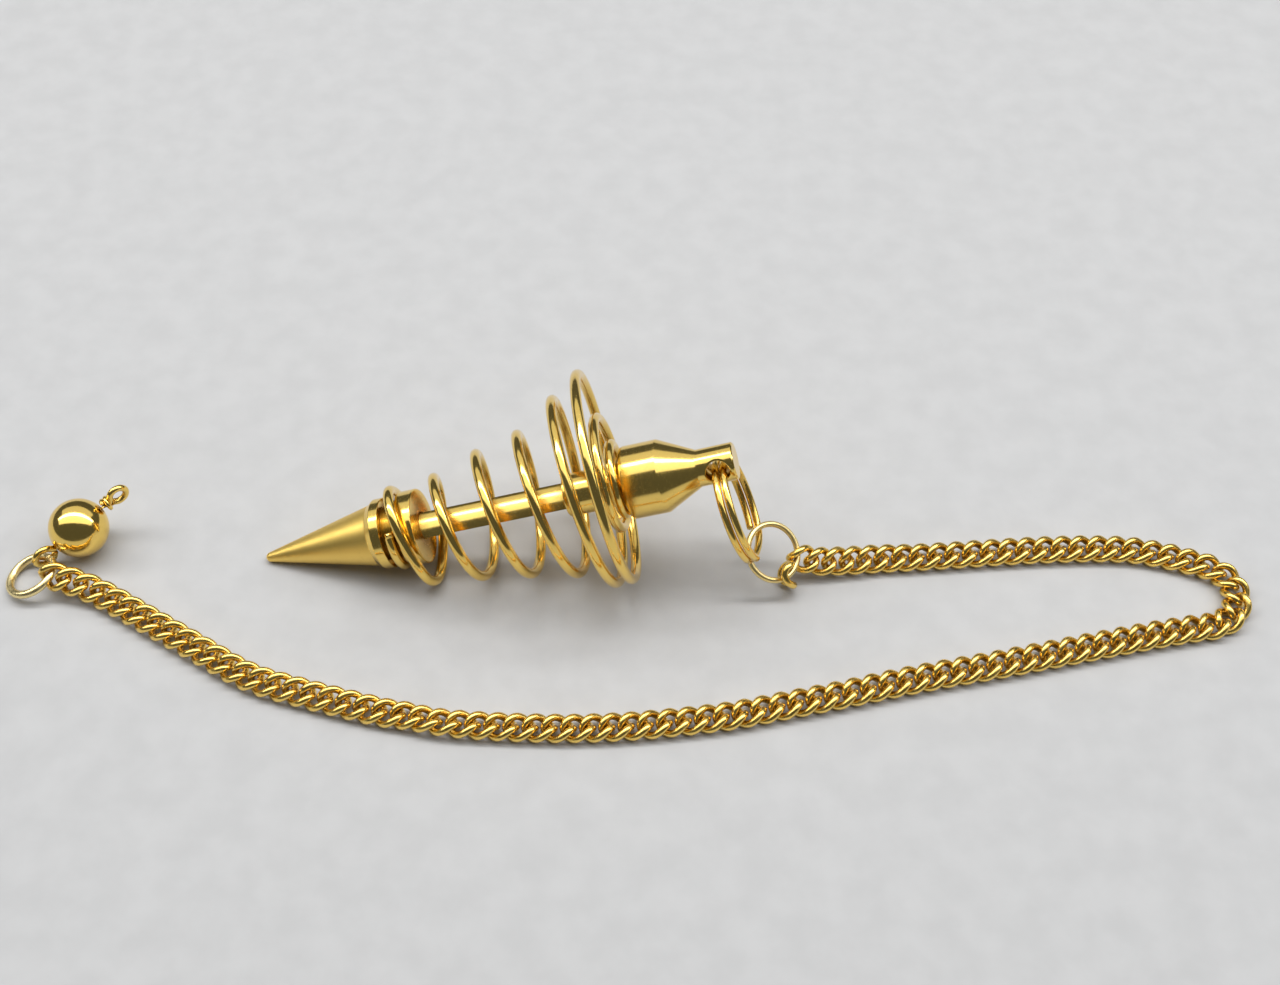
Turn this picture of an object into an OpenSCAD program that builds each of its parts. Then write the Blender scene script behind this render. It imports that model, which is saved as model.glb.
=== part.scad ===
// Pendulum pendant: turned brass pendulum with a wire spiral, on a curb chain with an end ring and a ball.
// It lies on a flat surface (z = 0), seen in the photo from the -Y side and above. All sizes in mm.

/* [Pendulum] */
// length of the turned pendulum from the point to the end of the neck
pendulum_length = 47.5; // [44:0.5:52]
// diameter of the cone where it flares into the band
cone_d = 6; // [5:0.1:6.6]
// diameter of the rounded point
point_d = 1; // [0.6:0.1:1.4]
// diameter of the band behind the cone
band_d = 6.9; // [6.4:0.1:7.4]
// diameter of the collar behind the wire groove
collar_d = 7.3; // [6.8:0.1:7.8]
// diameter at the floor of the wire groove
groove_d = 5.2; // [4.8:0.1:5.4]
// diameter of the rod that joins the point to the head
rod_d = 2.5; // [2:0.1:2.8]
// diameter of the thick shank in front of the head
shank_d = 4.1; // [3.9:0.1:4.1]
// largest diameter of the head
head_d = 7; // [6.4:0.1:7.6]
// diameter of the neck behind the head
neck_d = 3.6; // [3.3:0.1:4]
// diameter of the cross hole through the neck
hole_d = 2.3; // [2.2:0.05:2.4]
// play between a pin and its socket, all round
play = 0.05; // [0.03:0.01:0.1]

/* [Spiral] */
// thickness of the spiral's wire
coil_wire_d = 1; // [0.8:0.05:1]
// radius of the largest turn, to the middle of the wire
coil_radius = 11; // [10:0.25:12]
// sides of the spiral's wire
coil_wire_sides = 8; // [6:2:10]
// points in each turn of the spiral
coil_turn_points = 24; // [20:2:32]

/* [Rings] */
// radius of the split ring, to the middle of the wire
split_ring_radius = 5; // [4.8:0.1:5.2]
// thickness of the split ring's wire
split_ring_wire_d = 0.7; // [0.6:0.05:0.7]
// sides of the split ring's wire
split_ring_sides = 8; // [6:2:10]
// radius of the jump ring, to the middle of the wire
jump_ring_radius = 2.75; // [2.65:0.05:2.8]
// thickness of the jump ring's wire
jump_ring_wire_d = 0.6; // [0.5:0.05:0.6]
// radius of the end ring, to the middle of the wire
end_ring_radius = 2.35; // [2.3:0.05:2.45]
// thickness of the end ring's wire
end_ring_wire_d = 0.8; // [0.7:0.05:0.8]

/* [Chain] */
// distance from link to link along the chain
link_pitch = 1.75; // [1.7:0.01:1.8]
// length of a link, to the middle of the wire
link_length = 2.7; // [2.6:0.05:2.75]
// width of a link, to the middle of the wire
link_width = 2.2; // [2.1:0.05:2.3]
// thickness of the links' wire
link_wire_d = 0.62; // [0.54:0.02:0.64]
// twist of a link from end to end, left-handed, degrees
link_twist = 110; // [100:2:120]
// points round a link
link_points = 12; // [10:1:16]
// sides of the links' wire
link_wire_sides = 5; // [5:1:6]

/* [Ball] */
// diameter of the ball
ball_d = 5.8; // [5.4:0.1:6.2]
// diameter of the hole through the ball
ball_bore_d = 0.85; // [0.8:0.05:1]
// thickness of the eye pin's wire
pin_wire_d = 0.65; // [0.55:0.05:0.65]
// radius of the free eye, to the middle of the wire
free_eye_radius = 0.85; // [0.75:0.05:1]
// radius of the eye that holds the end ring, to the middle of the wire
ring_eye_radius = 1; // [0.95:0.05:1.05]

/* [Lie] */
// turn of the pendulum away from straight to the right, degrees
pendulum_turn = 1.9; // [0:0.1:3]
// gap between the surface and the lowest parts of the pendulum and the chain
seat = 0.02; // [0.01:0.01:0.05]

/* [Hidden] */
// stations along the pendulum as shares of its length
cone_end = 0.242 * pendulum_length;
band_start = 0.255 * pendulum_length;
groove_start = 0.274 * pendulum_length;
groove_end = 0.31 * pendulum_length;
collar_end = 0.346 * pendulum_length;
shank_start = 0.653 * pendulum_length;
head_start = 0.779 * pendulum_length;
head_rim = 0.852 * pendulum_length;
neck_start = 0.925 * pendulum_length;
hole_station = 0.965 * pendulum_length;
socket_depth = 0.052 * pendulum_length;
edge = 0.04 * band_d;

// where the point of the pendulum stands
point_x = -34.8;
point_y = 4.3;
point_lift = 0.5 * point_d + seat;
// turn about the pendulum's axis at which the photo shows the top of each spiral turn
coil_turn = 130;
// how far a turn of the spiral leans towards the head at its near side, for each mm outside the shank
coil_lean = 0.12;
full_turn = 360;
// turn of the cross hole about the pendulum's axis, and how far the split ring swings from that axis
hole_turn = 248;
split_ring_swing = 83.2;
split_ring_sag = 0.15;

// spiral from the groove to the shank; coil_rows has a row for each half turn
coil_inner = 0.5 * (shank_d + coil_wire_d);
coil_start = 0.5 * (groove_start + groove_end);
coil_stop = head_start - 0.62 * coil_wire_d - play;
// least radius at which the wire clears the groove's floor and the collar
function coil_clear(z) =
  let (w = coil_wire_d / 2 + play, out = max(groove_end + edge / 2 - z, z - collar_end, 0))
  max(z < groove_end ? groove_d / 2 + w : 0, out < w ? collar_d / 2 + sqrt(w * w - out * out) : 0);
// columns: share of the way along, share of the way out from coil_inner to coil_radius, more of it midway on
coil_rows = [
  [0.000, 0.095, 0], [0.000, 0.095, 0], [0.006, 0.160, 0.13], [0.112, 0.345, -0.22], [0.203, 0.205, 0],
  [0.332, 0.400, 0], [0.409, 0.370, 0], [0.544, 0.480, 0], [0.604, 0.485, 0], [0.742, 0.580, 0],
  [0.786, 0.780, 0], [0.898, 0.768, 0], [0.915, 1.000, 0], [0.974, 0.750, 0], [0.950, 0.480, 0],
  [0.972, 0.167, 0], [0.990, 0.160, 0], [1.000, 0.024, 0], [1.000, 0.024, 0], [1.000, 0.024, 0]];
coil_from = 0.25;
coil_to = 8.9;

// jump ring: middle, tip of its plane from level and the side it faces
jump_ring_off = [1.6, 0.57, -0.96];
jump_ring_tip = 36;
jump_ring_facing = -42.7;
// end ring
end_ring_at = [-57.64, 1.6, 1.19];
end_ring_tip = 19.1;
end_ring_facing = 170.6;
// ball: middle, and the way its hole runs, up and towards the free eye
ball_at = [-53.51, 6.06, 0.5 * ball_d + seat];
ball_turn = 37.4;
ball_rise = 20;
ring_eye_gap = 0.03;
free_eye_gap = 0.85;

// route of the chain over the surface, from the jump ring to the end ring
// columns: x, y, lift above lying on the surface, roll of the chain about its own line
// the lead rows are counted from the middle of the jump ring
route_lead = [[3.02, 0.17, -2.55, 53], [5, 0.23, -3.05, 45.7], [7.86, 0.59, -3.28, 33.2]];
route_rest = [
  [24.3, 3.6, 0.03, 28.9], [28, 3.9, 0, 10.7],
  [32, 4.2, 0, 8], [37, 4.6, 0, 8], [42, 4.9, 0, 8], [46.5, 5, 0, 6], [50, 4.8, 0, 4],
  [53.5, 4, 0, 2], [56.1, 3.1, 0, 0], [57.6, 2.3, 0, 0], [58.6, 1.1, 0, 0], [58.9, -0.3, 0, 0],
  [58.7, -1.7, 0, 0],
  [57.9, -3, 0, 0], [56.6, -3.9, 0, 0], [53.5, -4.5, 0, 0], [50, -5.2, 0, -4], [45, -6.3, 0, -6],
  [40, -7.4, 0, -6], [35, -8.5, 0, -6], [30, -9.5, 0, -4], [25, -10.6, 0, -4], [20, -11.8, 0, 0],
  [15, -12.9, 0, 0], [10, -14, 0, 0], [5, -14.7, 0, 0], [0, -15.2, 0, 0], [-5, -15.4, 0, 0],
  [-10, -15.3, 0, 0], [-15, -15, 0, 6], [-17.5, -14.7, 0, 12], [-20, -14.1, 0, 2], [-22, -13.8, 0, -9],
  [-25, -13.1, 0, -18], [-30, -11.7, 0, -22], [-35, -10, 0, -22], [-40, -7, 0, -20], [-45, -3.9, 0, -18],
  [-50, -0.9, 0.1, -25], [-52.5, 0.2, 0.45, -40], [-53.1, 0.3, 0.66, -33.5], [-55.04, 0.84, 0.73, -41]];
route_steps = 8;
// the loose link beside the first one: its middle counted from that of the jump ring, heading, rise and roll
loose_link_off = [1.455, -1.59, -1.58];
loose_link_heading = 21.5;
loose_link_rise = 91.4;
loose_link_roll = -11.5;

function about_x(v, t) = [v[0], v[1] * cos(t) - v[2] * sin(t), v[1] * sin(t) + v[2] * cos(t)];
function about_y(v, t) = [v[0] * cos(t) + v[2] * sin(t), v[1], v[2] * cos(t) - v[0] * sin(t)];
function about_z(v, t) = [v[0] * cos(t) - v[1] * sin(t), v[0] * sin(t) + v[1] * cos(t), v[2]];
function unit(v) = v / norm(v);
// smooth curve through rows of numbers, t counted in rows
function curve(rows, t) =
  let (n = len(rows), i = min(max(floor(t), 0), n - 2), f = t - i,
       a = rows[max(i - 1, 0)], b = rows[i], c = rows[i + 1], d = rows[min(i + 2, n - 1)])
  0.5 * (2 * b + (c - a) * f + (2 * a - 5 * b + 4 * c - d) * f * f + (3 * b - a - 3 * c + d) * f * f * f);
// points of a round wire along a path; aside gives the direction that its first corner faces
function wire_points(path, aside, r, sides, closed) =
  let (n = len(path))
  [for (i = [0:n - 1])
    let (before = path[closed ? (i + n - 1) % n : max(i - 1, 0)],
         after = path[closed ? (i + 1) % n : min(i + 1, n - 1)],
         along = unit(after - before), u = unit(aside[i] - along * (aside[i] * along)), v = cross(along, u))
    for (j = [0:sides - 1]) path[i] + r * (cos(full_turn * j / sides) * u + sin(full_turn * j / sides) * v)];
// triangles between the rings of points, and the caps of an open wire
function wire_faces(n, sides, first, closed) = concat(
  [for (i = [0:(closed ? n - 1 : n - 2)]) for (j = [0:sides - 1]) for (half = [0, 1])
    let (a = first + i * sides + j, b = first + i * sides + (j + 1) % sides,
         c = first + ((i + 1) % n) * sides + (j + 1) % sides, d = first + ((i + 1) % n) * sides + j)
    half == 0 ? [a, c, b] : [a, d, c]],
  closed ? [] : concat(
    [for (j = [1:sides - 2]) [first, first + j, first + j + 1]],
    [for (j = [1:sides - 2])
      let (last = first + (n - 1) * sides) [last, last + j + 1, last + j]]));

// the spiral's line along the pendulum's axis
coil_count = round((coil_to - coil_from) * coil_turn_points);
coil_path = [for (i = [0:coil_count])
  let (t = coil_from + (coil_to - coil_from) * i / coil_count, row = curve(coil_rows, 2 * t),
       turn = coil_turn + full_turn * (t - 1),
       out = (row[1] + row[2] * pow(sin(full_turn * t), 2)) * (coil_radius - coil_inner),
       z = coil_start + row[0] * (coil_stop - coil_start) + coil_lean * out * sin(full_turn * t),
       r = max(coil_inner + out, coil_clear(z)))
  [r * cos(turn), r * sin(turn), z]];
// the pendulum lies on its point and on the turn that touches first
pendulum_rise = max([for (p = coil_path)
  let (along = p[2] - point_d / 2)
  p[0] > 0 ? atan2(p[0], along) + asin((coil_wire_d / 2 - point_lift + seat) / norm([p[0], along])) : 0]);

// the far end of the split ring, where the jump ring hangs
split_ring_end = [0, 0, hole_station - point_d / 2] +
  about_z(about_x([0, 0, 2 * split_ring_radius + split_ring_sag], -split_ring_swing), hole_turn);
hook_at = [point_x, point_y, point_lift] +
  about_z(about_y(split_ring_end, 90 - pendulum_rise), pendulum_turn);
jump_ring_at = hook_at + jump_ring_off;
route = concat([for (row = route_lead) row + [for (k = [0:3]) k < 3 ? jump_ring_at[k] : 0]], route_rest);

module on_pendulum() {
  translate([point_x, point_y, point_lift]) rotate([0, 0, pendulum_turn])
    rotate([0, 90 - pendulum_rise, 0]) translate([0, 0, -point_d / 2]) children();
}

// turned point: rounded tip, cone, flare, band, wire groove and collar, with a blind socket for the rod
module tip_cone() {
  color("goldenrod") on_pendulum() difference() {
    rotate_extrude($fn = 96) union() {
      polygon([[0, point_d / 2], [point_d / 2, point_d / 2], [cone_d / 2, cone_end], [band_d / 2, band_start],
        [band_d / 2, groove_start], [groove_d / 2, groove_start], [groove_d / 2, groove_end],
        [collar_d / 2 - edge / 2, groove_end], [collar_d / 2, groove_end + edge / 2],
        [collar_d / 2, collar_end - edge / 2], [collar_d / 2 - edge / 2, collar_end], [0, collar_end]]);
      intersection() {
        translate([0, point_d / 2]) circle(d = point_d, $fn = 48);
        square([point_d, point_d]);
      }
    }
    translate([0, 0, collar_end - socket_depth])
      cylinder(d = rod_d + 2 * play, h = socket_depth + edge, $fn = 64);
  }
}

// plain rod, pinned in the sockets of the point and of the shank
module core_rod() {
  color("goldenrod") on_pendulum()
    translate([0, 0, collar_end - socket_depth + play])
      cylinder(d = rod_d, h = shank_start + 2 * socket_depth - collar_end - 2 * play, $fn = 64);
}

// round wire wound from the groove of the point out to the wide turns and back in to the shank
module spiral_wire() {
  color("gold") on_pendulum()
    polyhedron(
      wire_points(coil_path, [for (p = coil_path) [p[0], p[1], 0]], coil_wire_d / 2, coil_wire_sides, false),
      wire_faces(len(coil_path), coil_wire_sides, 0, false), convexity = 10);
}

// turned head: thick shank, bottle-shaped body and drilled neck, with a blind socket for the rod
module head() {
  color("goldenrod") on_pendulum() difference() {
    rotate_extrude($fn = 96) polygon([[0, shank_start], [shank_d / 2 - edge / 2, shank_start],
      [shank_d / 2, shank_start + edge / 2], [shank_d / 2, head_start], [0.485 * head_d, head_start],
      [head_d / 2, head_start + edge], [head_d / 2, head_rim], [0.49 * neck_d, neck_start],
      [neck_d / 2, pendulum_length - edge / 2], [neck_d / 2 - edge / 2, pendulum_length],
      [0, pendulum_length]]);
    translate([0, 0, shank_start - edge])
      cylinder(d = rod_d + 2 * play, h = socket_depth + edge, $fn = 64);
    translate([0, 0, hole_station]) rotate([0, 0, hole_turn]) rotate([0, 90, 0])
      cylinder(d = hole_d, h = 2 * neck_d, center = true, $fn = 64);
  }
}

// two turns of wire side by side, hooked through the neck; the cut ends lie at the far side
module split_ring() {
  points = 52;
  turns = 2;
  half = 0.55 * split_ring_wire_d;
  overlap = 35;
  path = [for (i = [0:points])
    let (turn = overlap + (full_turn * turns - 2 * overlap) * i / points,
         step = min(max((turn - full_turn + overlap) / (2 * overlap), 0), 1))
    [split_ring_radius * sin(turn), half * (2 * step * step * (3 - 2 * step) - 1),
     split_ring_radius * cos(turn)]];
  color("gold") on_pendulum()
    translate([0, 0, hole_station]) rotate([0, 0, hole_turn]) rotate([-split_ring_swing, 0, 0])
      translate([0, 0, split_ring_radius + split_ring_sag])
        polyhedron(
          wire_points(path, [for (p = path) [p[0], 0, p[2]]], split_ring_wire_d / 2, split_ring_sides, false),
          wire_faces(len(path), split_ring_sides, 0, false), convexity = 6);
}

module ring(radius, wire) {
  rotate_extrude($fn = 96) translate([radius, 0]) circle(d = wire, $fn = 48);
}

module jump_ring() {
  color("gold") translate(jump_ring_at) rotate([0, 0, jump_ring_facing]) rotate([0, jump_ring_tip, 0])
    ring(jump_ring_radius, jump_ring_wire_d);
}

// one link of the chain, at a place, along a heading with a rise, rolled about its own line
function link_path(place, heading, rise, roll) =
  let (e = [cos(rise) * cos(heading), cos(rise) * sin(heading), sin(rise)],
       s0 = [-sin(heading), cos(heading), 0], w0 = cross(e, s0),
       s = cos(roll) * s0 + sin(roll) * w0, w = cross(e, s))
  [for (i = [0:link_points - 1])
    let (t = full_turn * (i + 0.5) / link_points, a = -link_twist / 2 * cos(t), b = link_width / 2 * sin(t))
    place + e * (link_length / 2 * cos(t)) + s * (b * cos(a)) + w * (b * sin(a))];

// curb chain: all the links as one node, each one loose in its neighbours
module chain() {
  steps = route_steps * (len(route) - 1);
  fine = [for (i = [0:steps]) curve(route, i / route_steps)];
  far = [for (i = 0, d = 0; i <= steps;
    d = d + (i < steps ? norm([for (k = [0:2]) fine[i + 1][k] - fine[i][k]]) : 0), i = i + 1) d];
  links = floor(far[steps] / link_pitch);
  walked = [for (k = [0:links]) lookup(k * far[steps] / links, [for (i = [0:steps]) [far[i], i]])];
  rows = [for (w = walked)
    let (i = min(floor(w), steps - 1)) fine[i] + (w - i) * (fine[i + 1] - fine[i])];
  paths = concat(
    [link_path(jump_ring_at + loose_link_off, loose_link_heading, loose_link_rise, loose_link_roll)],
    [for (k = [0:links])
      let (before = rows[max(k - 1, 0)], after = rows[min(k + 1, links)], d = after - before,
           heading = atan2(d[1], d[0]), rise = atan2(d[2], norm([d[0], d[1]])), row = rows[k],
           path = link_path([row[0], row[1], 0], heading, rise, row[3]),
           low = min([for (p = path) p[2]]))
      [for (p = path) p + [0, 0, seat + max(row[2], 0) + link_wire_d / 2 - low]]]);
  points = [for (path = paths)
    let (mid = [for (p = path) 1 / len(path)] * path)
    wire_points(path, [for (p = path) p - mid], link_wire_d / 2, link_wire_sides, true)];
  color("gold") polyhedron([for (p = points) each p],
    [for (k = [0:len(paths) - 1]) each
      wire_faces(link_points, link_wire_sides, k * link_points * link_wire_sides, true)], convexity = 20);
}

module end_ring() {
  color("gold") translate(end_ring_at) rotate([0, 0, end_ring_facing]) rotate([0, end_ring_tip, 0])
    ring(end_ring_radius, end_ring_wire_d);
}

module on_ball() {
  translate(ball_at) rotate([0, 0, ball_turn]) rotate([0, -ball_rise, 0]) children();
}

// drilled ball on the eye pin
module ball() {
  color("goldenrod") on_ball() rotate([0, 90, 0]) rotate_extrude($fn = 96) difference() {
    circle(d = ball_d, $fn = 96);
    translate([-ball_d, -ball_d]) square([ball_d + ball_bore_d / 2, 2 * ball_d]);
  }
}

// wire pin through the ball with a bent eye at each end
module ball_eye_pin() {
  free = ball_d / 2 + free_eye_gap + free_eye_radius + pin_wire_d / 2;
  held = ball_d / 2 + ring_eye_gap + ring_eye_radius + pin_wire_d / 2;
  color("gold") on_ball() {
    translate([free, 0, 0]) rotate([90, 0, 0]) ring(free_eye_radius, pin_wire_d);
    translate([-held, 0, 0]) rotate([90, 0, 0]) ring(ring_eye_radius, pin_wire_d);
    translate([ring_eye_radius - held, 0, 0]) rotate([0, 90, 0])
      cylinder(d = pin_wire_d, h = free + held - free_eye_radius - ring_eye_radius, $fn = 48);
  }
}

tip_cone();
core_rod();
spiral_wire();
head();
split_ring();
jump_ring();
chain();
end_ring();
ball();
ball_eye_pin();
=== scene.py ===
"""Pendulum pendant: turned brass pendulum with a wire spiral on a curb chain, laid on a plain floor.

Everything is in metres. Local shapes are written in millimetres, and brought to metres where they are
placed.
"""
import math

import bmesh
import bpy
import numpy as np
from mathutils import Matrix, Vector


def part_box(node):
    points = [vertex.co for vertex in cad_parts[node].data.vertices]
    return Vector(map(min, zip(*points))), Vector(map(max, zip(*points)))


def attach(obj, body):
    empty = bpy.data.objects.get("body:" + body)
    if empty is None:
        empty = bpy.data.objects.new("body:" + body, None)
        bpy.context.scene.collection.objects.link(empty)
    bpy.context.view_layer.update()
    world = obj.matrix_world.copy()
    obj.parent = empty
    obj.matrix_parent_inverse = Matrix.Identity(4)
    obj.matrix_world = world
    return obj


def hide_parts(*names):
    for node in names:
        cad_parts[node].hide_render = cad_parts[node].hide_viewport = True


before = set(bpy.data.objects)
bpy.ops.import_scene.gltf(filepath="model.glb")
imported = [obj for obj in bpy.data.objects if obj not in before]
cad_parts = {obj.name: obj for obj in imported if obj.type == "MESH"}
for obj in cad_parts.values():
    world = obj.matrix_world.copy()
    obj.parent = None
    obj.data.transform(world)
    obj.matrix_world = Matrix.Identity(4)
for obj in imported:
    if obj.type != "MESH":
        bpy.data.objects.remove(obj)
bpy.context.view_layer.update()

# Turned point
# A brass bar turned to a cone with a small round tip, a band, a groove for the wire and a collar.
# It is gold plated over the marks of the lathe, satin on the cone and bright on the band.
# It is pinned on the rod.
MM = 0.001
pendulum_length = 47.5
point_d = 1.0
cone_d = 6.0
band_d = 6.9
groove_d = 5.2
collar_d = 7.3
cone_end = 0.242 * pendulum_length
band_start = 0.255 * pendulum_length
groove_start = 0.274 * pendulum_length
groove_end = 0.31 * pendulum_length
collar_end = 0.346 * pendulum_length
shank_start = 0.653 * pendulum_length
socket_d = 2.7
gold_bright = (0.93, 0.65, 0.17, 1)
gold_deep = (0.42, 0.23, 0.03, 1)


class Socket:
    """A shader socket that Python's operators work on: each operator adds the node that does the sum."""

    def __init__(self, tree, at=None):
        self.tree = tree
        self.at = at

    @staticmethod
    def named(sockets, name):
        """A node's socket by its number, identifier or name."""
        if isinstance(name, int):
            return sockets[name]
        return next(s for s in sockets if name in (s.identifier, s.name))

    def node(self, kind, settings=(), inputs=(), out=0):
        """Adds a node: its settings first, then a value or another socket for each input."""
        made = self.tree.nodes.new("ShaderNode" + kind)
        for name, value in dict(settings).items():
            setattr(made, name, value)
        for name, value in dict(inputs).items():
            socket = self.named(made.inputs, name)
            if isinstance(value, Socket):
                self.tree.links.new(value.at, socket)
            else:
                socket.default_value = value
        return Socket(self.tree, self.named(made.outputs, out) if made.outputs else None)

    def maths(self, operation, first, second):
        """Math on numbers, or Vector Math where this socket carries a vector."""
        kind = "VectorMath" if self.at.type == "VECTOR" else "Math"
        return self.node(kind, {"operation": operation}, {0: first, 1: second})

    def __add__(self, other):
        return self.maths("ADD", self, other)

    __radd__ = __add__

    def __sub__(self, other):
        return self.maths("SUBTRACT", self, other)

    def __rsub__(self, other):
        return self.maths("SUBTRACT", other, self)

    def __mul__(self, other):
        return self.maths("MULTIPLY", self, other)

    __rmul__ = __mul__

    def rising(self, low, high):
        """0 below low, 1 above high and a smooth rise between them."""
        return self.node("MapRange", {"interpolation_type": "SMOOTHSTEP"},
                         {"Value": self, "From Min": low, "From Max": high})

    def between(self, colour, other):
        """The first colour where this socket is 0 and the other where it is 1."""
        return self.node("Mix", {"data_type": "RGBA"},
                         {"Factor_Float": self, "A_Color": colour, "B_Color": other}, "Result_Color")


def gold(name, stretch, polish, satin, line_depth, recess_shade=0.5, bright=gold_bright, deep=gold_deep,
         brushed_to=0):
    """Plated brass. The marks of the tool are noise drawn out by stretch, in marks to the millimetre.

    Polish is the least roughness, satin what the marks add to it; the sixth argument darkens recesses as
    painted shade.
    What lies below brushed_to on the Z axis, in millimetres, was brushed to a satin finish.
    """
    stain_marks, haze_marks, pit_marks, hair_marks = (0.45,) * 3, (1.7,) * 3, (3.1,) * 3, (14, 0.5, 14)
    brushed_rough, brushed_fade = 0.24, 0.2
    material = bpy.data.materials.new(name)
    material.use_nodes = True
    material.node_tree.nodes.clear()
    start = Socket(material.node_tree)
    grain = start.node("Attribute", {"attribute_name": "grain"}, out="Vector")
    recess = start.node("Attribute", {"attribute_name": "recess"}, out="Fac")
    lines = start.node("TexNoise", {}, {"Vector": grain * stretch, "Scale": 1, "Detail": 4,
                                        "Roughness": 0.65})
    blotch = start.node("TexNoise", {}, {"Vector": grain * stain_marks, "Scale": 1, "Detail": 3})
    haze = start.node("TexNoise", {}, {"Vector": grain * haze_marks, "Scale": 1, "Detail": 5,
                                       "Distortion": 0.6})
    skew = start.node("VectorRotate", {}, {"Vector": grain, "Axis": (0.3, 0.8, 0.5), "Angle": 1.1})
    hairs = start.node("TexNoise", {}, {"Vector": skew * hair_marks, "Scale": 1, "Detail": 2})
    scratch = hairs.rising(0.66, 0.72)
    pits = start.node("TexVoronoi", {}, {"Vector": grain * pit_marks, "Scale": 1, "Randomness": 1})
    pit = 1 - pits.rising(0.03, 0.11)
    # painted shade in the recesses, with faint haze and blotches of stain on top; it darkens the colour and
    # roughens the surface
    shade_and_stain = recess * recess_shade + haze.rising(0.5, 0.8) * 0.16 + blotch.rising(0.5, 0.75) * 0.14
    colour = shade_and_stain.rising(0, 1).between(bright, deep)
    rough = polish + satin * lines.rising(0.3, 0.7) + 0.14 * shade_and_stain + 0.12 * scratch + 0.1 * pit
    if brushed_to:
        station = grain.node("SeparateXYZ", {}, {0: grain}, "Z")
        rough += brushed_rough * (1 - station.rising(brushed_to, brushed_to + brushed_fade))
    height = lines - 0.5 * scratch - 0.8 * pit + 0.3 * haze
    normal = start.node("Bump", {}, {"Height": height, "Distance": line_depth * MM, "Strength": 1})
    shader = start.node("BsdfPrincipled", {}, {"Base Color": colour, "Metallic": 1, "Roughness": rough,
                                               "Normal": normal})
    start.node("OutputMaterial", {}, {"Surface": shader})
    return material


def unit(v):
    """Vectors, one a row, brought to length 1."""
    v = np.asarray(v, float)
    return v / np.linalg.norm(v, axis=-1, keepdims=True)


def rounded(rows, steps=6):
    """An outline of (station, radius, corner radius, recess) rows with each corner turned to its radius."""
    made = [rows[0][:2] + rows[0][3:]]
    for before, row, after in zip(rows, rows[1:], rows[2:]):
        at = np.array(row[:2])
        back, on = np.array(before[:2]) - at, np.array(after[:2]) - at
        half = math.acos(np.clip(unit(back) @ unit(on), -1, 1)) / 2
        reach = min(row[2] / math.tan(half), 0.45 * np.linalg.norm(back), 0.45 * np.linalg.norm(on))
        first, last = at + reach * unit(back), at + reach * unit(on)
        made.append((*(first + 0.1 * reach * unit(back)), row[3]))
        for k in range(steps + 1):
            t = k / steps
            made.append((*((1 - t) ** 2 * first + 2 * t * (1 - t) * at + t * t * last), row[3]))
        made.append((*(last + 0.1 * reach * unit(on)), row[3]))
    return made + [rows[-1][:2] + rows[-1][3:]]


def turned(outline, around=160):
    """A turned solid about Z from (station, radius, recess) rows: points, faces, grain and recess."""
    turn = np.arange(around) * 2 * math.pi / around
    rings = [np.stack([r * np.cos(turn), r * np.sin(turn), np.full(around, z)], 1) for z, r, _ in outline]
    ends = [[0, 0, outline[0][0]], [0, 0, outline[-1][0]]]
    points = np.concatenate([*rings, ends])
    recess = np.repeat([row[2] for row in outline], around)
    recess = np.concatenate([recess, [outline[0][2], outline[-1][2]]])
    faces = []
    for i in range(len(outline) - 1):
        a = i * around
        faces += [(a + j, a + (j + 1) % around, a + around + (j + 1) % around, a + around + j)
                  for j in range(around)]
    last = (len(outline) - 1) * around
    for j in range(around):
        faces.append((len(points) - 2, (j + 1) % around, j))
        faces.append((len(points) - 1, last + j, last + (j + 1) % around))
    return points, faces, points, recess


def piece(name, parts, place, finish, slot, *nodes):
    """One smooth object from its parts, laid at its place with its finish, instead of its CAD nodes."""
    starts = np.cumsum([0] + [len(part[0]) for part in parts])
    points = np.concatenate([part[0] for part in parts])
    faces = [[int(start) + i for i in face] for start, part in zip(starts, parts) for face in part[1]]
    mesh = bpy.data.meshes.new(name)
    mesh.from_pydata(points.tolist(), [], faces)
    grain = mesh.attributes.new("grain", "FLOAT_VECTOR", "POINT")
    grain.data.foreach_set("vector", np.concatenate([part[2] for part in parts]).astype(np.float32).ravel())
    recess = mesh.attributes.new("recess", "FLOAT", "POINT")
    recess.data.foreach_set("value", np.concatenate([part[3] for part in parts]).astype(np.float32))
    mesh.transform(place)
    shape = bmesh.new()
    shape.from_mesh(mesh)
    bmesh.ops.recalc_face_normals(shape, faces=shape.faces)
    shape.to_mesh(mesh)
    shape.free()
    mesh.shade_smooth()
    mesh.materials.append(finish)
    made = bpy.data.objects.new(name, mesh)
    bpy.context.scene.collection.objects.link(made)
    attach(made, "root")
    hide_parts(*nodes)


def lie_of(node):
    """Middle of a CAD node's box, and its main directions with the longest first."""
    low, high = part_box(node)
    points = np.array([v.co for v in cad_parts[node].data.vertices])
    ways = np.linalg.eigh(np.cov((points - points.mean(0)).T))[1].T[::-1]
    return np.array((low + high) / 2), ways


def standing(origin, x, y, z):
    """The matrix that puts a local shape in millimetres at an origin, along three directions."""
    place = Matrix.Identity(4)
    for column, way in enumerate((x, y, z)):
        place.col[column][:3] = [MM * c for c in way]
    place.col[3][:3] = origin
    return place


rod_middle, rod_ways = lie_of("core_rod")
axis = rod_ways[0] * np.sign(rod_ways[0][0])
side = unit(np.cross((0, 0, 1), axis))
apex = rod_middle - axis * (collar_end + shank_start) / 2 * MM
pendulum = standing(apex, np.cross(side, axis), side, axis)

tip_round = [(0.5 * point_d * (1 - math.cos(a)), 0.5 * point_d * math.sin(a), 0)
             for a in np.radians([4, 12, 22, 34, 46, 58, 70])]
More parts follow.
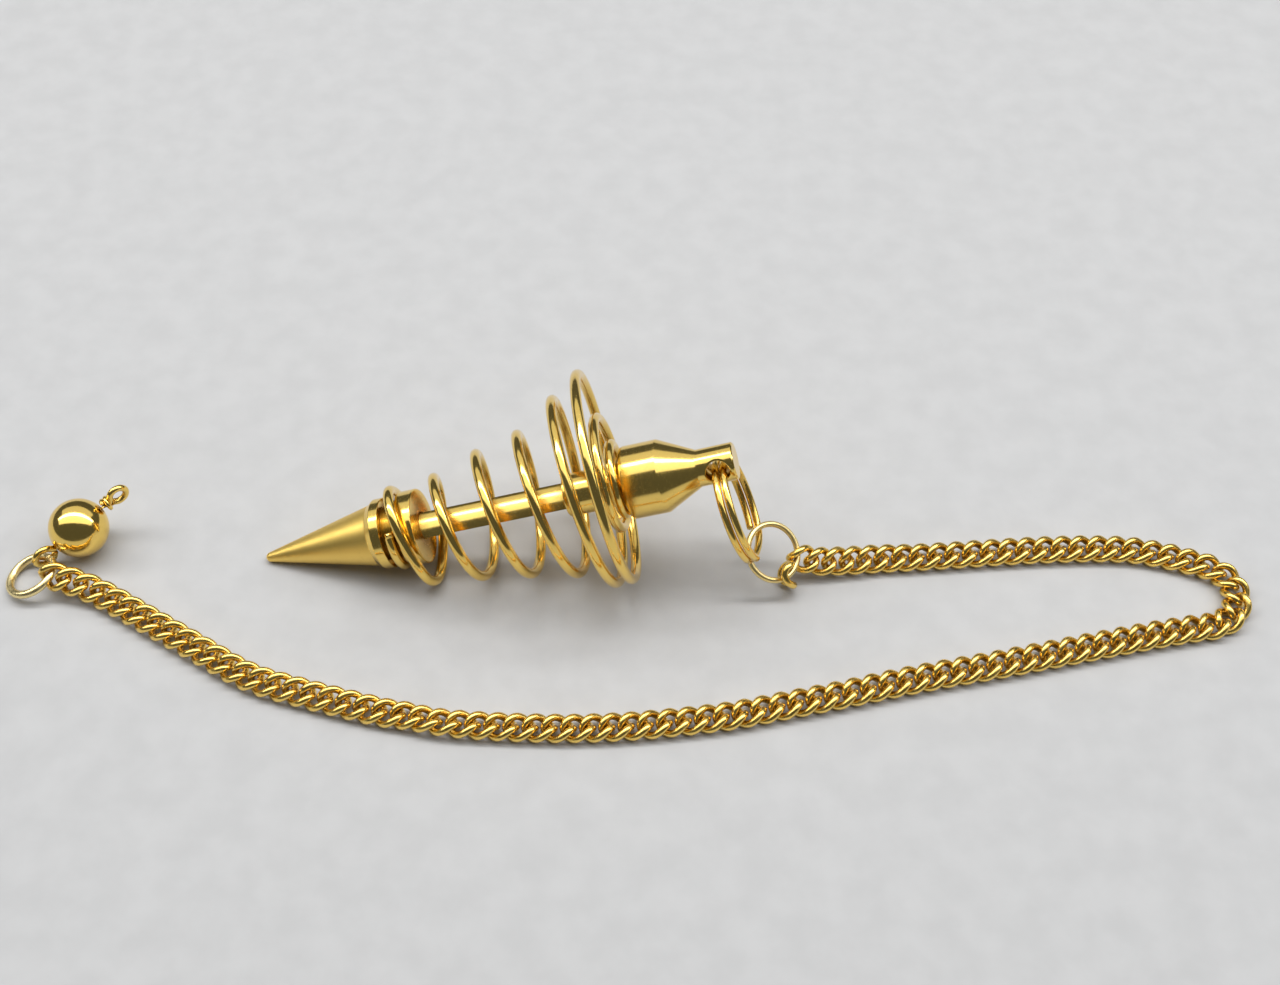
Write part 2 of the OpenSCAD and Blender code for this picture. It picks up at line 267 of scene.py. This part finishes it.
# columns: station along the axis, radius, corner radius, recess from 0 in the open to 1 at the darkest,
# which the finish paints as shade
point_outline = [(0.45 * point_d, 0.5 * point_d, 0.1, 0), (0.6 * point_d, 0.525 * point_d, 0.1, 0),
                 (cone_end, cone_d / 2, 0.25, 0.1), (band_start, band_d / 2, 0.12, 0),
                 (groove_start, band_d / 2, 0.1, 0), (groove_start, groove_d / 2, 0.06, 1),
                 (groove_end, groove_d / 2, 0.06, 1), (groove_end, collar_d / 2, 0.16, 0),
                 (collar_end, collar_d / 2, 0.16, 0), (collar_end, socket_d / 2, 0.05, 1),
                 (collar_end - 1, socket_d / 2 - 0.05, 0, 1)]
# the groove, the socket and the face of the collar are darkened strongly here as painted shade
turned_gold = gold("turned_gold", (0.35, 0.35, 22), 0.12, 0.07, 0.0005, recess_shade=0.9, brushed_to=cone_end)
piece("tip_cone_turned", [turned(tip_round + rounded(point_outline))], pendulum, turned_gold,
      "turned_brass", "tip_cone")

# Rod
# A plain drawn brass rod that joins the point to the head. It is bright, with fine lines along it,
# and both of its ends are pinned in blind sockets.
rod_d = 2.5
rod_depth = 2
rod_low = collar_end - rod_depth
rod_high = shank_start + rod_depth
rod_end_d = 1.6
# the rod's ends, where they go into the sockets, are darkened as painted shade, and the rest of it a little
rod_outline = [(rod_low, rod_end_d / 2, 0, 1), (rod_low, rod_d / 2, 0.1, 1),
               (collar_end + 0.2, rod_d / 2, 0, 0.9), (collar_end + 1.2, rod_d / 2, 0, 0.1),
               (shank_start - 1.2, rod_d / 2, 0, 0.1), (shank_start - 0.2, rod_d / 2, 0, 0.9),
               (rod_high, rod_d / 2, 0.1, 1), (rod_high, rod_end_d / 2, 0, 1)]
drawn_gold = gold("drawn_gold", (9, 9, 0.4), 0.13, 0.08, 0.001)
piece("core_rod_drawn", [turned(rounded(rod_outline))], pendulum, drawn_gold, "turned_brass", "core_rod")

# Spiral
# Hard round wire wound from the groove of the point out to three wide turns and back in to the shank.
# It is sprung on, not soldered, so its turns lean a little. It was plated after it was wound, and shows
# faint die lines along the wire.
coil_wire_d = 1.0
coil_radius = 11.0
shank_d = 4.1
coil_inner = 0.5 * (shank_d + coil_wire_d)
head_start = 0.779 * pendulum_length
coil_turn = 130
coil_lean = 0.12
play = 0.05
coil_start = 0.5 * (groove_start + groove_end)
coil_stop = head_start - 0.62 * coil_wire_d - play
# columns: share of the way along, share of the way out from coil_inner to coil_radius, more of it midway on
coil_rows = np.array([
    [0.000, 0.095, 0], [0.000, 0.095, 0], [0.006, 0.160, 0.13], [0.112, 0.345, -0.22], [0.203, 0.205, 0],
    [0.332, 0.400, 0], [0.409, 0.370, 0], [0.544, 0.480, 0], [0.604, 0.485, 0], [0.742, 0.580, 0],
    [0.786, 0.780, 0], [0.898, 0.768, 0], [0.915, 1.000, 0], [0.974, 0.750, 0], [0.950, 0.480, 0],
    [0.972, 0.167, 0], [0.990, 0.160, 0], [1.000, 0.024, 0], [1.000, 0.024, 0], [1.000, 0.024, 0]])
coil_from = 0.25
coil_to = 8.9
coil_points_a_turn = 80
collar_edge = 0.04 * band_d


def curve(rows, t):
    """A smooth curve through rows of numbers, with t counted in rows."""
    i = min(max(math.floor(t), 0), len(rows) - 2)
    a, b, c, d = rows[max(i - 1, 0)], rows[i], rows[i + 1], rows[min(i + 2, len(rows) - 1)]
    f = t - i
    square, cube = 2 * a - 5 * b + 4 * c - d, 3 * b - a - 3 * c + d
    return 0.5 * (2 * b + (c - a) * f + square * f * f + cube * f ** 3)


def wire(path, centre, thick, sides=16, closed=False):
    """Round wire along a path: its grain runs along it and its recess, painted as shade, is on the side of
    the centre.
    """
    path, radius = np.asarray(path, float), np.full(len(path), thick / 2)
    centre = np.broadcast_to(centre, path.shape)
    if not closed:
        # a rounded end: how far in it is, in thicknesses, and how full the wire is there
        tips = [(0, 0.78), (0.12, 0.95), (0.35, 1)]
        head = [path[0] + unit(path[1] - path[0]) * thick * d for d, _ in tips]
        tail = [path[-1] + unit(path[-2] - path[-1]) * thick * d for d, _ in tips]
        centre = np.concatenate([[centre[0]] * 3, centre[1:-1], [centre[-1]] * 3])
        path = np.concatenate([head, path[1:-1], tail[::-1]])
        ends = [thick / 2 * share for _, share in tips]
        radius = np.concatenate([ends, radius[1:-1], ends[::-1]])
    before, after = np.roll(path, 1, 0), np.roll(path, -1, 0)
    if not closed:
        before[0], after[-1] = path[0], path[-1]
    along = unit(after - before)
    out = path - centre
    out = unit(out - along * np.sum(out * along, 1, keepdims=True))
    turn = np.arange(sides) * 2 * math.pi / sides
    across = (np.cos(turn)[None, :, None] * out[:, None]
              + np.sin(turn)[None, :, None] * np.cross(along, out)[:, None])
    points = (path[:, None] + radius[:, None, None] * across).reshape(-1, 3)
    count = len(path)
    faces = [(i * sides + j, i * sides + (j + 1) % sides,
              (i + 1) % count * sides + (j + 1) % sides, (i + 1) % count * sides + j)
             for i in range(count if closed else count - 1) for j in range(sides)]
    if not closed:
        faces += [tuple(range(sides)), tuple(range((count - 1) * sides, count * sides))]
    far = np.cumsum(np.linalg.norm(path - before, axis=1))
    grain = np.stack([np.tile(thick / 2 * np.cos(turn), count), np.tile(thick / 2 * np.sin(turn), count),
                      np.repeat(far, sides)], 1)
    # the side towards the centre is darkened as painted shade
    recess = np.tile((0.5 - 0.5 * np.cos(turn)) ** 2, count)
    return points, faces, grain, recess


def coil_clear(z):
    """The least radius at which the wire clears the floor of the groove and the collar."""
    half, beside = coil_wire_d / 2 + play, max(groove_end + collar_edge / 2 - z, z - collar_end, 0)
    floor_of_groove = groove_d / 2 + half if z < groove_end else 0
    over_collar = collar_d / 2 + math.sqrt(half * half - beside * beside) if beside < half else 0
    return max(floor_of_groove, over_collar)


coil = []
for t in np.linspace(coil_from, coil_to, round((coil_to - coil_from) * coil_points_a_turn)):
    share, size, more = curve(coil_rows, 2 * t)
    reach = (size + more * math.sin(2 * math.pi * t) ** 2) * (coil_radius - coil_inner)
    z = coil_start + share * (coil_stop - coil_start) + coil_lean * reach * math.sin(2 * math.pi * t)
    reach = max(coil_inner + reach, coil_clear(z))
    turn = math.radians(coil_turn + 360 * (t - 1))
    coil.append([reach * math.cos(turn), reach * math.sin(turn), z])
coil = np.array(coil)
# the inner side of each turn, towards the axis, is darkened as painted shade
spiral_gold = gold("spiral_gold", (7, 7, 0.35), 0.1, 0.07, 0.0008, recess_shade=0.35)
piece("spiral_wound", [wire(coil, coil * (0, 0, 1), coil_wire_d, 20)], pendulum, spiral_gold,
      "wire_brass", "spiral_wire")

# Head
# One turned brass piece: a shank that the spiral ends on, a bottle-shaped body and a neck with a cross
# hole. It is plated and bright, with the edge of the hole broken so that the split ring runs smoothly.
head_d = 7.0
neck_d = 3.6
hole_d = 2.3
head_rim = 0.852 * pendulum_length
neck_start = 0.925 * pendulum_length
hole_station = 0.965 * pendulum_length
hole_turn = 248
hole_edge = 0.16
neck_bevel = 0.14
# the socket and the corner between the shank and the body are darkened as painted shade
head_outline = [(shank_start + 1, socket_d / 2 - 0.05, 0, 1), (shank_start, socket_d / 2, 0.05, 0.8),
                (shank_start, shank_d / 2, 0.14, 0.2), (head_start, shank_d / 2, 0.05, 1),
                (head_start, 0.485 * head_d, 0.05, 0.6), (head_start + 0.28, head_d / 2, 0.15, 0),
                (head_rim, head_d / 2, 0.12, 0), (neck_start, 0.49 * neck_d, 0.3, 0.2),
                (pendulum_length - neck_bevel, neck_d / 2, 0.1, 0),
                (pendulum_length, neck_d / 2 - neck_bevel, 0.08, 0), (pendulum_length, 0.6, 0, 0.1)]


def finely(outline, start, stop, gap):
    """An outline with rows close together between two stations, so that a hole there has a clean edge."""
    made = []
    for a, b in zip(outline, outline[1:]):
        made.append(a)
        if a[0] >= start - 0.5 and b[0] <= stop and b[0] - a[0] > gap:
            made += [tuple(np.array(a) + (np.array(b) - np.array(a)) * t)
                     for t in np.arange(gap, b[0] - a[0], gap) / (b[0] - a[0])]
    return made + [outline[-1]]


def drilled(part, station, turn, across, rounding):
    """A turned part with a round cross hole, whose edges are broken by a small round."""
    solid, drill = [bpy.data.objects.new(n, bpy.data.meshes.new(n)) for n in ("solid", "drill")]
    solid.data.from_pydata(part[0].tolist(), [], part[1])
    cutter = turned([(-neck_d, across / 2, 1), (neck_d, across / 2, 1)], 72)
    drill.data.from_pydata(cutter[0].tolist(), [], cutter[1])
    way = Matrix.Rotation(math.radians(turn), 4, "Z") @ Matrix.Rotation(math.pi / 2, 4, "Y")
    drill.data.transform(Matrix.Translation((0, 0, station)) @ way)
    for made in (solid, drill):
        shape = bmesh.new()
        shape.from_mesh(made.data)
        bmesh.ops.recalc_face_normals(shape, faces=shape.faces)
        shape.to_mesh(made.data)
        shape.free()
        bpy.context.scene.collection.objects.link(made)
    cut = solid.modifiers.new("hole", "BOOLEAN")
    cut.object, cut.operation, cut.solver = drill, "DIFFERENCE", "EXACT"
    mesh = bpy.data.meshes.new_from_object(solid.evaluated_get(bpy.context.evaluated_depsgraph_get()))
    points = np.array([v.co for v in mesh.vertices])
    faces = [tuple(face.vertices) for face in mesh.polygons]
    for made in (solid, drill):
        bpy.data.objects.remove(made)
    hole_way = np.array(way.to_3x3() @ Vector((0, 0, 1)))
    off = points - (0, 0, station)
    away = np.linalg.norm(off - np.outer(off @ hole_way, hole_way), axis=1) - across / 2
    reach = np.hypot(points[:, 0], points[:, 1])
    beside = np.abs(off[:, 2]) < across
    outer = reach > 0.96 * neck_d / 2 * np.where(away > 1e-4, 1, 0)
    near = (away < rounding) & outer & beside
    sink = np.where(near, 0.4 * rounding * (1 - np.clip(away / rounding, 0, 1)) ** 2, 0)
    points = points * (1 - sink / np.maximum(reach, 0.1))[:, None] ** (1, 1, 0)
    # the wall of the hole is darkened as painted shade
    recess = np.where((away < 1e-3) & beside, 0.9, 0)
    return points, faces, points, recess


bright_gold = gold("bright_turned_gold", (0.35, 0.35, 14), 0.1, 0.1, 0.0009, recess_shade=0.4)
head_fine = finely(rounded(head_outline), hole_station - 1.5, pendulum_length, 0.06)
head = drilled(turned(head_fine, 192), hole_station, hole_turn, hole_d, hole_edge)
piece("head_turned", [head], pendulum, bright_gold, "turned_brass", "head")

# Split ring
# Two turns of hard wire side by side, sprung open to go through the neck.
# The cut ends lie at the far side, where the jump ring hangs.
split_ring_radius = 5.0
split_ring_wire_d = 0.7
split_ring_swing = 83.2
split_ring_sag = 0.15
split_overlap = 35
split_ring = []
for turn in np.linspace(split_overlap, 720 - split_overlap, 160):
    step = min(max((turn - 360 + split_overlap) / (2 * split_overlap), 0), 1)
    split_ring.append([split_ring_radius * math.sin(math.radians(turn)),
                       0.55 * split_ring_wire_d * (2 * step * step * (3 - 2 * step) - 1),
                       split_ring_radius * math.cos(math.radians(turn))])
split_place = (Matrix.Translation((0, 0, hole_station)) @ Matrix.Rotation(math.radians(hole_turn), 4, "Z")
               @ Matrix.Rotation(math.radians(-split_ring_swing), 4, "X")
               @ Matrix.Translation((0, 0, split_ring_radius + split_ring_sag)))
ring_gold = gold("ring_gold", (7, 7, 0.5), 0.1, 0.1, 0.001, recess_shade=0.45)
# the inner side of the ring is darkened as painted shade
piece("split_ring_sprung", [wire(split_ring, (0, 0, 0), split_ring_wire_d)], pendulum @ split_place,
      ring_gold, "wire_brass", "split_ring")

# Jump ring
# A thin ring of soft wire closed round the split ring and the first two links, with its ends butted.
# It has lost some of its plating, so it is paler than the rest.
jump_ring_radius = 2.75
jump_ring_wire_d = 0.6
jump_ring_cut = 150
jump_ring_gap = 0.06
jump_ring_spring = 0.04


def open_ring(node, radius, thick, cut, gap, spring, steps=96):
    """Wire bent round in the plane of a CAD ring, with its ends at the angle cut.

    Gap is how far apart the ends are along the wire, and spring how far across the plane.
    """
    middle, ways = lie_of(node)
    normal = ways[2] * np.sign(ways[2][2])
    level = unit(np.cross((0, 0, 1), normal))
    place = standing(middle, level, np.cross(normal, level), normal)
    share = gap / (2 * math.pi * radius)
    path = [[radius * math.cos(a), radius * math.sin(a), spring * (t - 0.5)]
            for t, a in ((t, math.radians(cut + 360 * (share / 2 + t * (1 - share))))
                         for t in np.linspace(0, 1, steps))]
    # the inner side of the ring is darkened as painted shade
    return [wire(path, (0, 0, 0), thick)], place


pale_gold = gold("pale_gold", (6, 6, 0.6), 0.26, 0.14, 0.0012, recess_shade=0.4, bright=(0.93, 0.74, 0.33, 1),
                 deep=(0.66, 0.42, 0.11, 1))
jump_ring = open_ring("jump_ring", jump_ring_radius, jump_ring_wire_d, jump_ring_cut, jump_ring_gap,
                      jump_ring_spring)
piece("jump_ring_bent", *jump_ring, pale_gold, "wire_brass", "jump_ring")

# Chain
# A fine curb chain: each link is bent from round wire, twisted by rather more than a quarter turn and
# soldered shut, so that the links lie flat. It lies in one loose bend, with one loose link beside the
# first. Links touch here, as real ones do, so their wire is a little thicker than in the CAD links.
link_pitch = 1.75
link_length = 2.7
link_width = 2.2
link_wire_d = 0.62
link_twist = -110
link_points = 36
drawn_wire_d = 0.7
seat = 0.04
route_steps = 8
jump_ring_at = lie_of("jump_ring")[0] / MM
# columns: x, y, lift above lying on the surface, roll of the chain about its own line
# the lead rows are counted from the middle of the jump ring
route_lead = [[3.02, 0.17, -2.55, 53], [5, 0.23, -3.05, 45.7], [7.86, 0.59, -3.28, 33.2]]
route_rest = [
    [24.3, 3.6, 0.03, 28.9], [28, 3.9, 0, 10.7],
    [32, 4.2, 0, 8], [37, 4.6, 0, 8], [42, 4.9, 0, 8], [46.5, 5, 0, 6], [50, 4.8, 0, 4],
    [53.5, 4, 0, 2], [56.1, 3.1, 0, 0], [57.6, 2.3, 0, 0], [58.6, 1.1, 0, 0], [58.9, -0.3, 0, 0],
    [58.7, -1.7, 0, 0], [57.9, -3, 0, 0], [56.6, -3.9, 0, 0], [53.5, -4.5, 0, 0], [50, -5.2, 0, -4],
    [45, -6.3, 0, -6],
    [40, -7.4, 0, -6], [35, -8.5, 0, -6], [30, -9.5, 0, -4], [25, -10.6, 0, -4], [20, -11.8, 0, 0],
    [15, -12.9, 0, 0], [10, -14, 0, 0], [5, -14.7, 0, 0], [0, -15.2, 0, 0], [-5, -15.4, 0, 0],
    [-10, -15.3, 0, 0], [-15, -15, 0, 6], [-17.5, -14.7, 0, 12], [-20, -14.1, 0, 2], [-22, -13.8, 0, -9],
    [-25, -13.1, 0, -18], [-30, -11.7, 0, -22], [-35, -10, 0, -22], [-40, -7, 0, -20], [-45, -3.9, 0, -18],
    [-50, -0.9, 0.1, -25], [-52.5, 0.2, 0.45, -40], [-53.1, 0.3, 0.66, -33.5], [-55.04, 0.84, 0.73, -41]]
loose_link_off = [1.455, -1.59, -1.58]
loose_link_heading = 21.5
loose_link_rise = 91.4
loose_link_roll = -11.5


def link(place, heading, rise, roll):
    """The line of one link's wire, at a place, along a heading with a rise, rolled about its own line."""
    heading, rise, roll = (math.radians(a) for a in (heading, rise, roll))
    ahead = np.array([math.cos(rise) * math.cos(heading), math.cos(rise) * math.sin(heading),
                      math.sin(rise)])
    level = np.array([-math.sin(heading), math.cos(heading), 0])
    upright = np.cross(ahead, level)
    aside = math.cos(roll) * level + math.sin(roll) * upright
    t = 2 * math.pi * (np.arange(link_points) + 0.5) / link_points
    a, b = math.radians(link_twist / 2) * np.cos(t), link_width / 2 * np.sin(t)
    return (place + np.outer(link_length / 2 * np.cos(t), ahead) + np.outer(b * np.cos(a), aside)
            + np.outer(b * np.sin(a), np.cross(ahead, aside)))


route = np.array([row + np.append(jump_ring_at, 0) for row in np.array(route_lead)] + route_rest)
fine = np.array([curve(route, i / route_steps) for i in range(route_steps * (len(route) - 1) + 1)])
far = np.append(0, np.cumsum(np.linalg.norm(np.diff(fine[:, :3], axis=0), axis=1)))
stops = np.linspace(0, far[-1], math.floor(far[-1] / link_pitch) + 1)
stops = np.stack([np.interp(stops, far, fine[:, k]) for k in range(4)], 1)
paths = [link(jump_ring_at + loose_link_off, loose_link_heading, loose_link_rise, loose_link_roll)]
for k, stop in enumerate(stops):
    x, y, z = (stops[min(k + 1, len(stops) - 1)] - stops[max(k - 1, 0)])[:3]
    path = link((stop[0], stop[1], 0), math.degrees(math.atan2(y, x)),
                math.degrees(math.atan2(z, math.hypot(x, y))), stop[3])
    paths.append(path + (0, 0, seat + max(stop[2], 0) + link_wire_d / 2 - path[:, 2].min()))
links = [wire(path, path.mean(0), drawn_wire_d, 10, closed=True) for path in paths]
grain_step = 9.7
links = [(points, faces, grain + (0, 0, grain_step * k), recess)
         for k, (points, faces, grain, recess) in enumerate(links)]
# the inner side of each link, where the links touch, is darkened as painted shade
chain_gold = gold("chain_gold", (5, 5, 1.2), 0.15, 0.14, 0.0016, recess_shade=0.75)
on_floor = standing((0, 0, 0), (1, 0, 0), (0, 1, 0), (0, 0, 1))
piece("chain_links", links, on_floor, chain_gold, "chain_brass", "chain")

# End ring
# A ring of thicker soft wire at the end of the chain. Its ends don't quite meet, so it can be opened
# for a charm. It is paler than the rest, with the marks of pliers.
end_ring_radius = 2.35
end_ring_wire_d = 0.8
end_ring_cut = 142
end_ring_gap = 0.25
end_ring_spring = 0.1
plier_gold = gold("plier_gold", (3, 3, 1.4), 0.2, 0.16, 0.003, recess_shade=0.3, bright=(0.94, 0.77, 0.38, 1),
                  deep=(0.68, 0.45, 0.14, 1))
end_ring = open_ring("end_ring", end_ring_radius, end_ring_wire_d, end_ring_cut, end_ring_gap,
                     end_ring_spring)
piece("end_ring_bent", *end_ring, plier_gold, "wire_brass", "end_ring")

# Ball
# A turned brass ball, drilled through and polished, with each mouth of the bore broken by a small
# countersink. It is held by the eye pin, with a little play.
ball_d = 5.8
bore_d = 0.85
mouth = 0.12
ball_around = 128
ball_middle, pin_ways = lie_of("ball")[0], lie_of("ball_eye_pin")[1]
pin_way = pin_ways[0] * np.sign(pin_ways[0][0])
pin_side = unit(np.cross((0, 0, 1), pin_way))
on_pin = standing(ball_middle, np.cross(pin_side, pin_way), pin_side, pin_way)
pole = math.asin((bore_d / 2 + mouth) / (ball_d / 2))
ball_outline = [(-ball_d / 2 * math.cos(a), ball_d / 2 * math.sin(a), 0)
                for a in np.linspace(pole, math.pi - pole, 72)]
bore_end = ball_d / 2 * math.cos(pole) - mouth
sink_at, sink_r = bore_end + 0.6 * mouth, bore_d / 2 + 0.5 * mouth
# the bore and its countersinks are darkened as painted shade
ball_outline = ([(0, bore_d / 2, 1), (-bore_end, bore_d / 2, 1), (-sink_at, sink_r, 0.8)] + ball_outline
                + [(sink_at, sink_r, 0.8), (bore_end, bore_d / 2, 1), (0, bore_d / 2, 1)])
ball_gold = gold("ball_gold", (1.2, 1.2, 6), 0.09, 0.06, 0.0007)


def hollow(part, around):
    """A turned part whose first and last rings are made one, so that its bore runs right through."""
    points, faces, _, recess = part
    last = len(points) - 2 - around
    kept = [tuple(i - last if last <= i < last + around else i for i in face)
            for face in faces if max(face) < len(points) - 2]
    return points[:last], kept, points[:last], recess[:last]


piece("ball_polished", [hollow(turned(ball_outline, ball_around), ball_around)], on_pin, ball_gold,
      "turned_brass", "ball")

# Eye pin
# One length of wire through the ball. It is bent to an eye that holds the end ring and, past a short
# neck at the far side, to the free eye. Its tail is wound round that neck and nipped off.
pin_wire_d = 0.65
tail_wire_d = 0.44
free_eye_radius = 0.85
free_eye_gap = 0.85
ring_eye_radius = 1.0
ring_eye_gap = 0.03
tail_start = 0.12
tail_wound = 560
free_eye_at = ball_d / 2 + free_eye_gap + free_eye_radius + pin_wire_d / 2
ring_eye_at = ball_d / 2 + ring_eye_gap + ring_eye_radius + pin_wire_d / 2


def eye(at, radius, way, steps=60):
    """The line of the wire where it leaves the axis and goes once round an eye."""
    neck = at - radius
    start = [[0, 0, way * z] for z in (neck - 0.5, neck - 0.25)]
    turns = np.radians(np.linspace(200, 520, steps))
    return start + [[radius * math.sin(a), 0, way * (at + radius * math.cos(a))] for a in turns]


def smooth(path, spacing=0.1):
    """A path drawn as a smooth curve, with points a spacing apart."""
    path = np.array(path, float)
    fine = np.array([curve(path, t) for t in np.linspace(0, len(path) - 1, 12 * len(path))])
    far = np.append(0, np.cumsum(np.linalg.norm(np.diff(fine, axis=0), axis=1)))
    stops = np.linspace(0, far[-1], round(far[-1] / spacing))
    return np.stack([np.interp(stops, far, fine[:, k]) for k in range(3)], 1)


free_eye = smooth(eye(free_eye_at, free_eye_radius, 1))
ring_eye = smooth(eye(ring_eye_at, ring_eye_radius, -1))
straight = [[0, 0, z] for z in np.linspace(-2, 2, 9)]
pin_line = np.concatenate([ring_eye[::-1], straight, free_eye])
# each eye is darkened as painted shade on the side of its own middle, and the straight length on the side
# of a point well aside
eye_centres = np.concatenate([np.tile([[0, 0.001, -ring_eye_at]], (len(ring_eye), 1)),
                              np.tile([[9, 0, 0]], (len(straight), 1)),
                              np.tile([[0, 0.001, free_eye_at]], (len(free_eye), 1))])
tail_radius = 0.5 * (pin_wire_d + tail_wire_d) + 0.01
tail_from = free_eye_at - free_eye_radius - tail_start
tail = [free_eye[-1] + (0.02, 0, 0.1)] + [
    [tail_radius * math.cos(a), tail_radius * math.sin(a), tail_from - tail_wire_d * a / math.tau]
    for a in np.radians(np.linspace(0, tail_wound, 50))]
tail = smooth(tail)
pin_gold = gold("pin_gold", (7, 7, 0.5), 0.13, 0.12, 0.0014)
pin_parts = [wire(pin_line, eye_centres, pin_wire_d), wire(tail, tail * (0, 0, 1), tail_wire_d)]
piece("ball_eye_pin_bent", pin_parts, on_pin, pin_gold, "wire_brass", "ball_eye_pin")

# Studio
# A plain pale floor under three soft lights: a narrow strip and a broad panel overhead, which draw the
# highlights along the turned pieces, and a ceiling behind them. The camera looks down as in the photo.
floor_size = 3.0
floor_dark = (0.47, 0.47, 0.47, 1)
floor_light = (0.51, 0.51, 0.51, 1)
mesh = bpy.data.meshes.new("floor")
half = floor_size / 2
corners = [(-half, -half, 0), (half, -half, 0), (half, half, 0), (-half, half, 0)]
mesh.from_pydata(corners, [], [(0, 1, 2, 3)])
floor = bpy.data.objects.new("floor", mesh)
bpy.context.scene.collection.objects.link(floor)
paper = bpy.data.materials.new("floor_paper")
paper.use_nodes = True
paper.node_tree.nodes.clear()
start = Socket(paper.node_tree)
mottle = start.node("TexNoise", {}, {"Scale": 900, "Detail": 3})
shader = start.node("BsdfPrincipled", {}, {
    "Base Color": mottle.rising(0.2, 0.8).between(floor_dark, floor_light), "Roughness": 0.85})
start.node("OutputMaterial", {}, {"Surface": shader})
floor.data.materials.append(paper)

world = bpy.data.worlds.new("studio")
world.use_nodes = True
world.node_tree.nodes["Background"].inputs["Color"].default_value = (0.9, 0.95, 1, 1)
world.node_tree.nodes["Background"].inputs["Strength"].default_value = 0.1
bpy.context.scene.world = world
bpy.context.scene.view_settings.view_transform = "Standard"


def soft_light(name, place, size, watts):
    """A rectangular soft light that faces the middle of the floor."""
    lamp = bpy.data.lights.new(name, "AREA")
    lamp.shape = "RECTANGLE"
    lamp.size, lamp.size_y = size
    lamp.energy = watts
    made = bpy.data.objects.new(name, lamp)
    made.location = place
    made.rotation_mode = "QUATERNION"
    made.rotation_quaternion = (-Vector(place)).to_track_quat("-Z", "Y")
    bpy.context.scene.collection.objects.link(made)


soft_light("strip_overhead", (0, 0.15, 0.5), (2, 0.1), 5)
soft_light("broad_overhead", (0, -0.02, 0.52), (2, 0.3), 2.6)
soft_light("ceiling", (0, 0.5, 0.75), (2, 0.7), 3)

camera_elevation = 51.5
camera_distance = 0.1826
focal_px = 1800
photo_width_px = 1280
aim = Vector((0.0014, 0.0128, 0))
lean = math.radians(camera_elevation)
lens = bpy.data.cameras.new("camera")
lens.sensor_width = 36
lens.lens = lens.sensor_width * focal_px / photo_width_px
lens.clip_start = 0.005
camera = bpy.data.objects.new("camera", lens)
camera.location = aim + camera_distance * Vector((0, -math.cos(lean), math.sin(lean)))
camera.rotation_mode = "QUATERNION"
camera.rotation_quaternion = (aim - camera.location).to_track_quat("-Z", "Y")
bpy.context.scene.collection.objects.link(camera)
bpy.context.scene.camera = camera
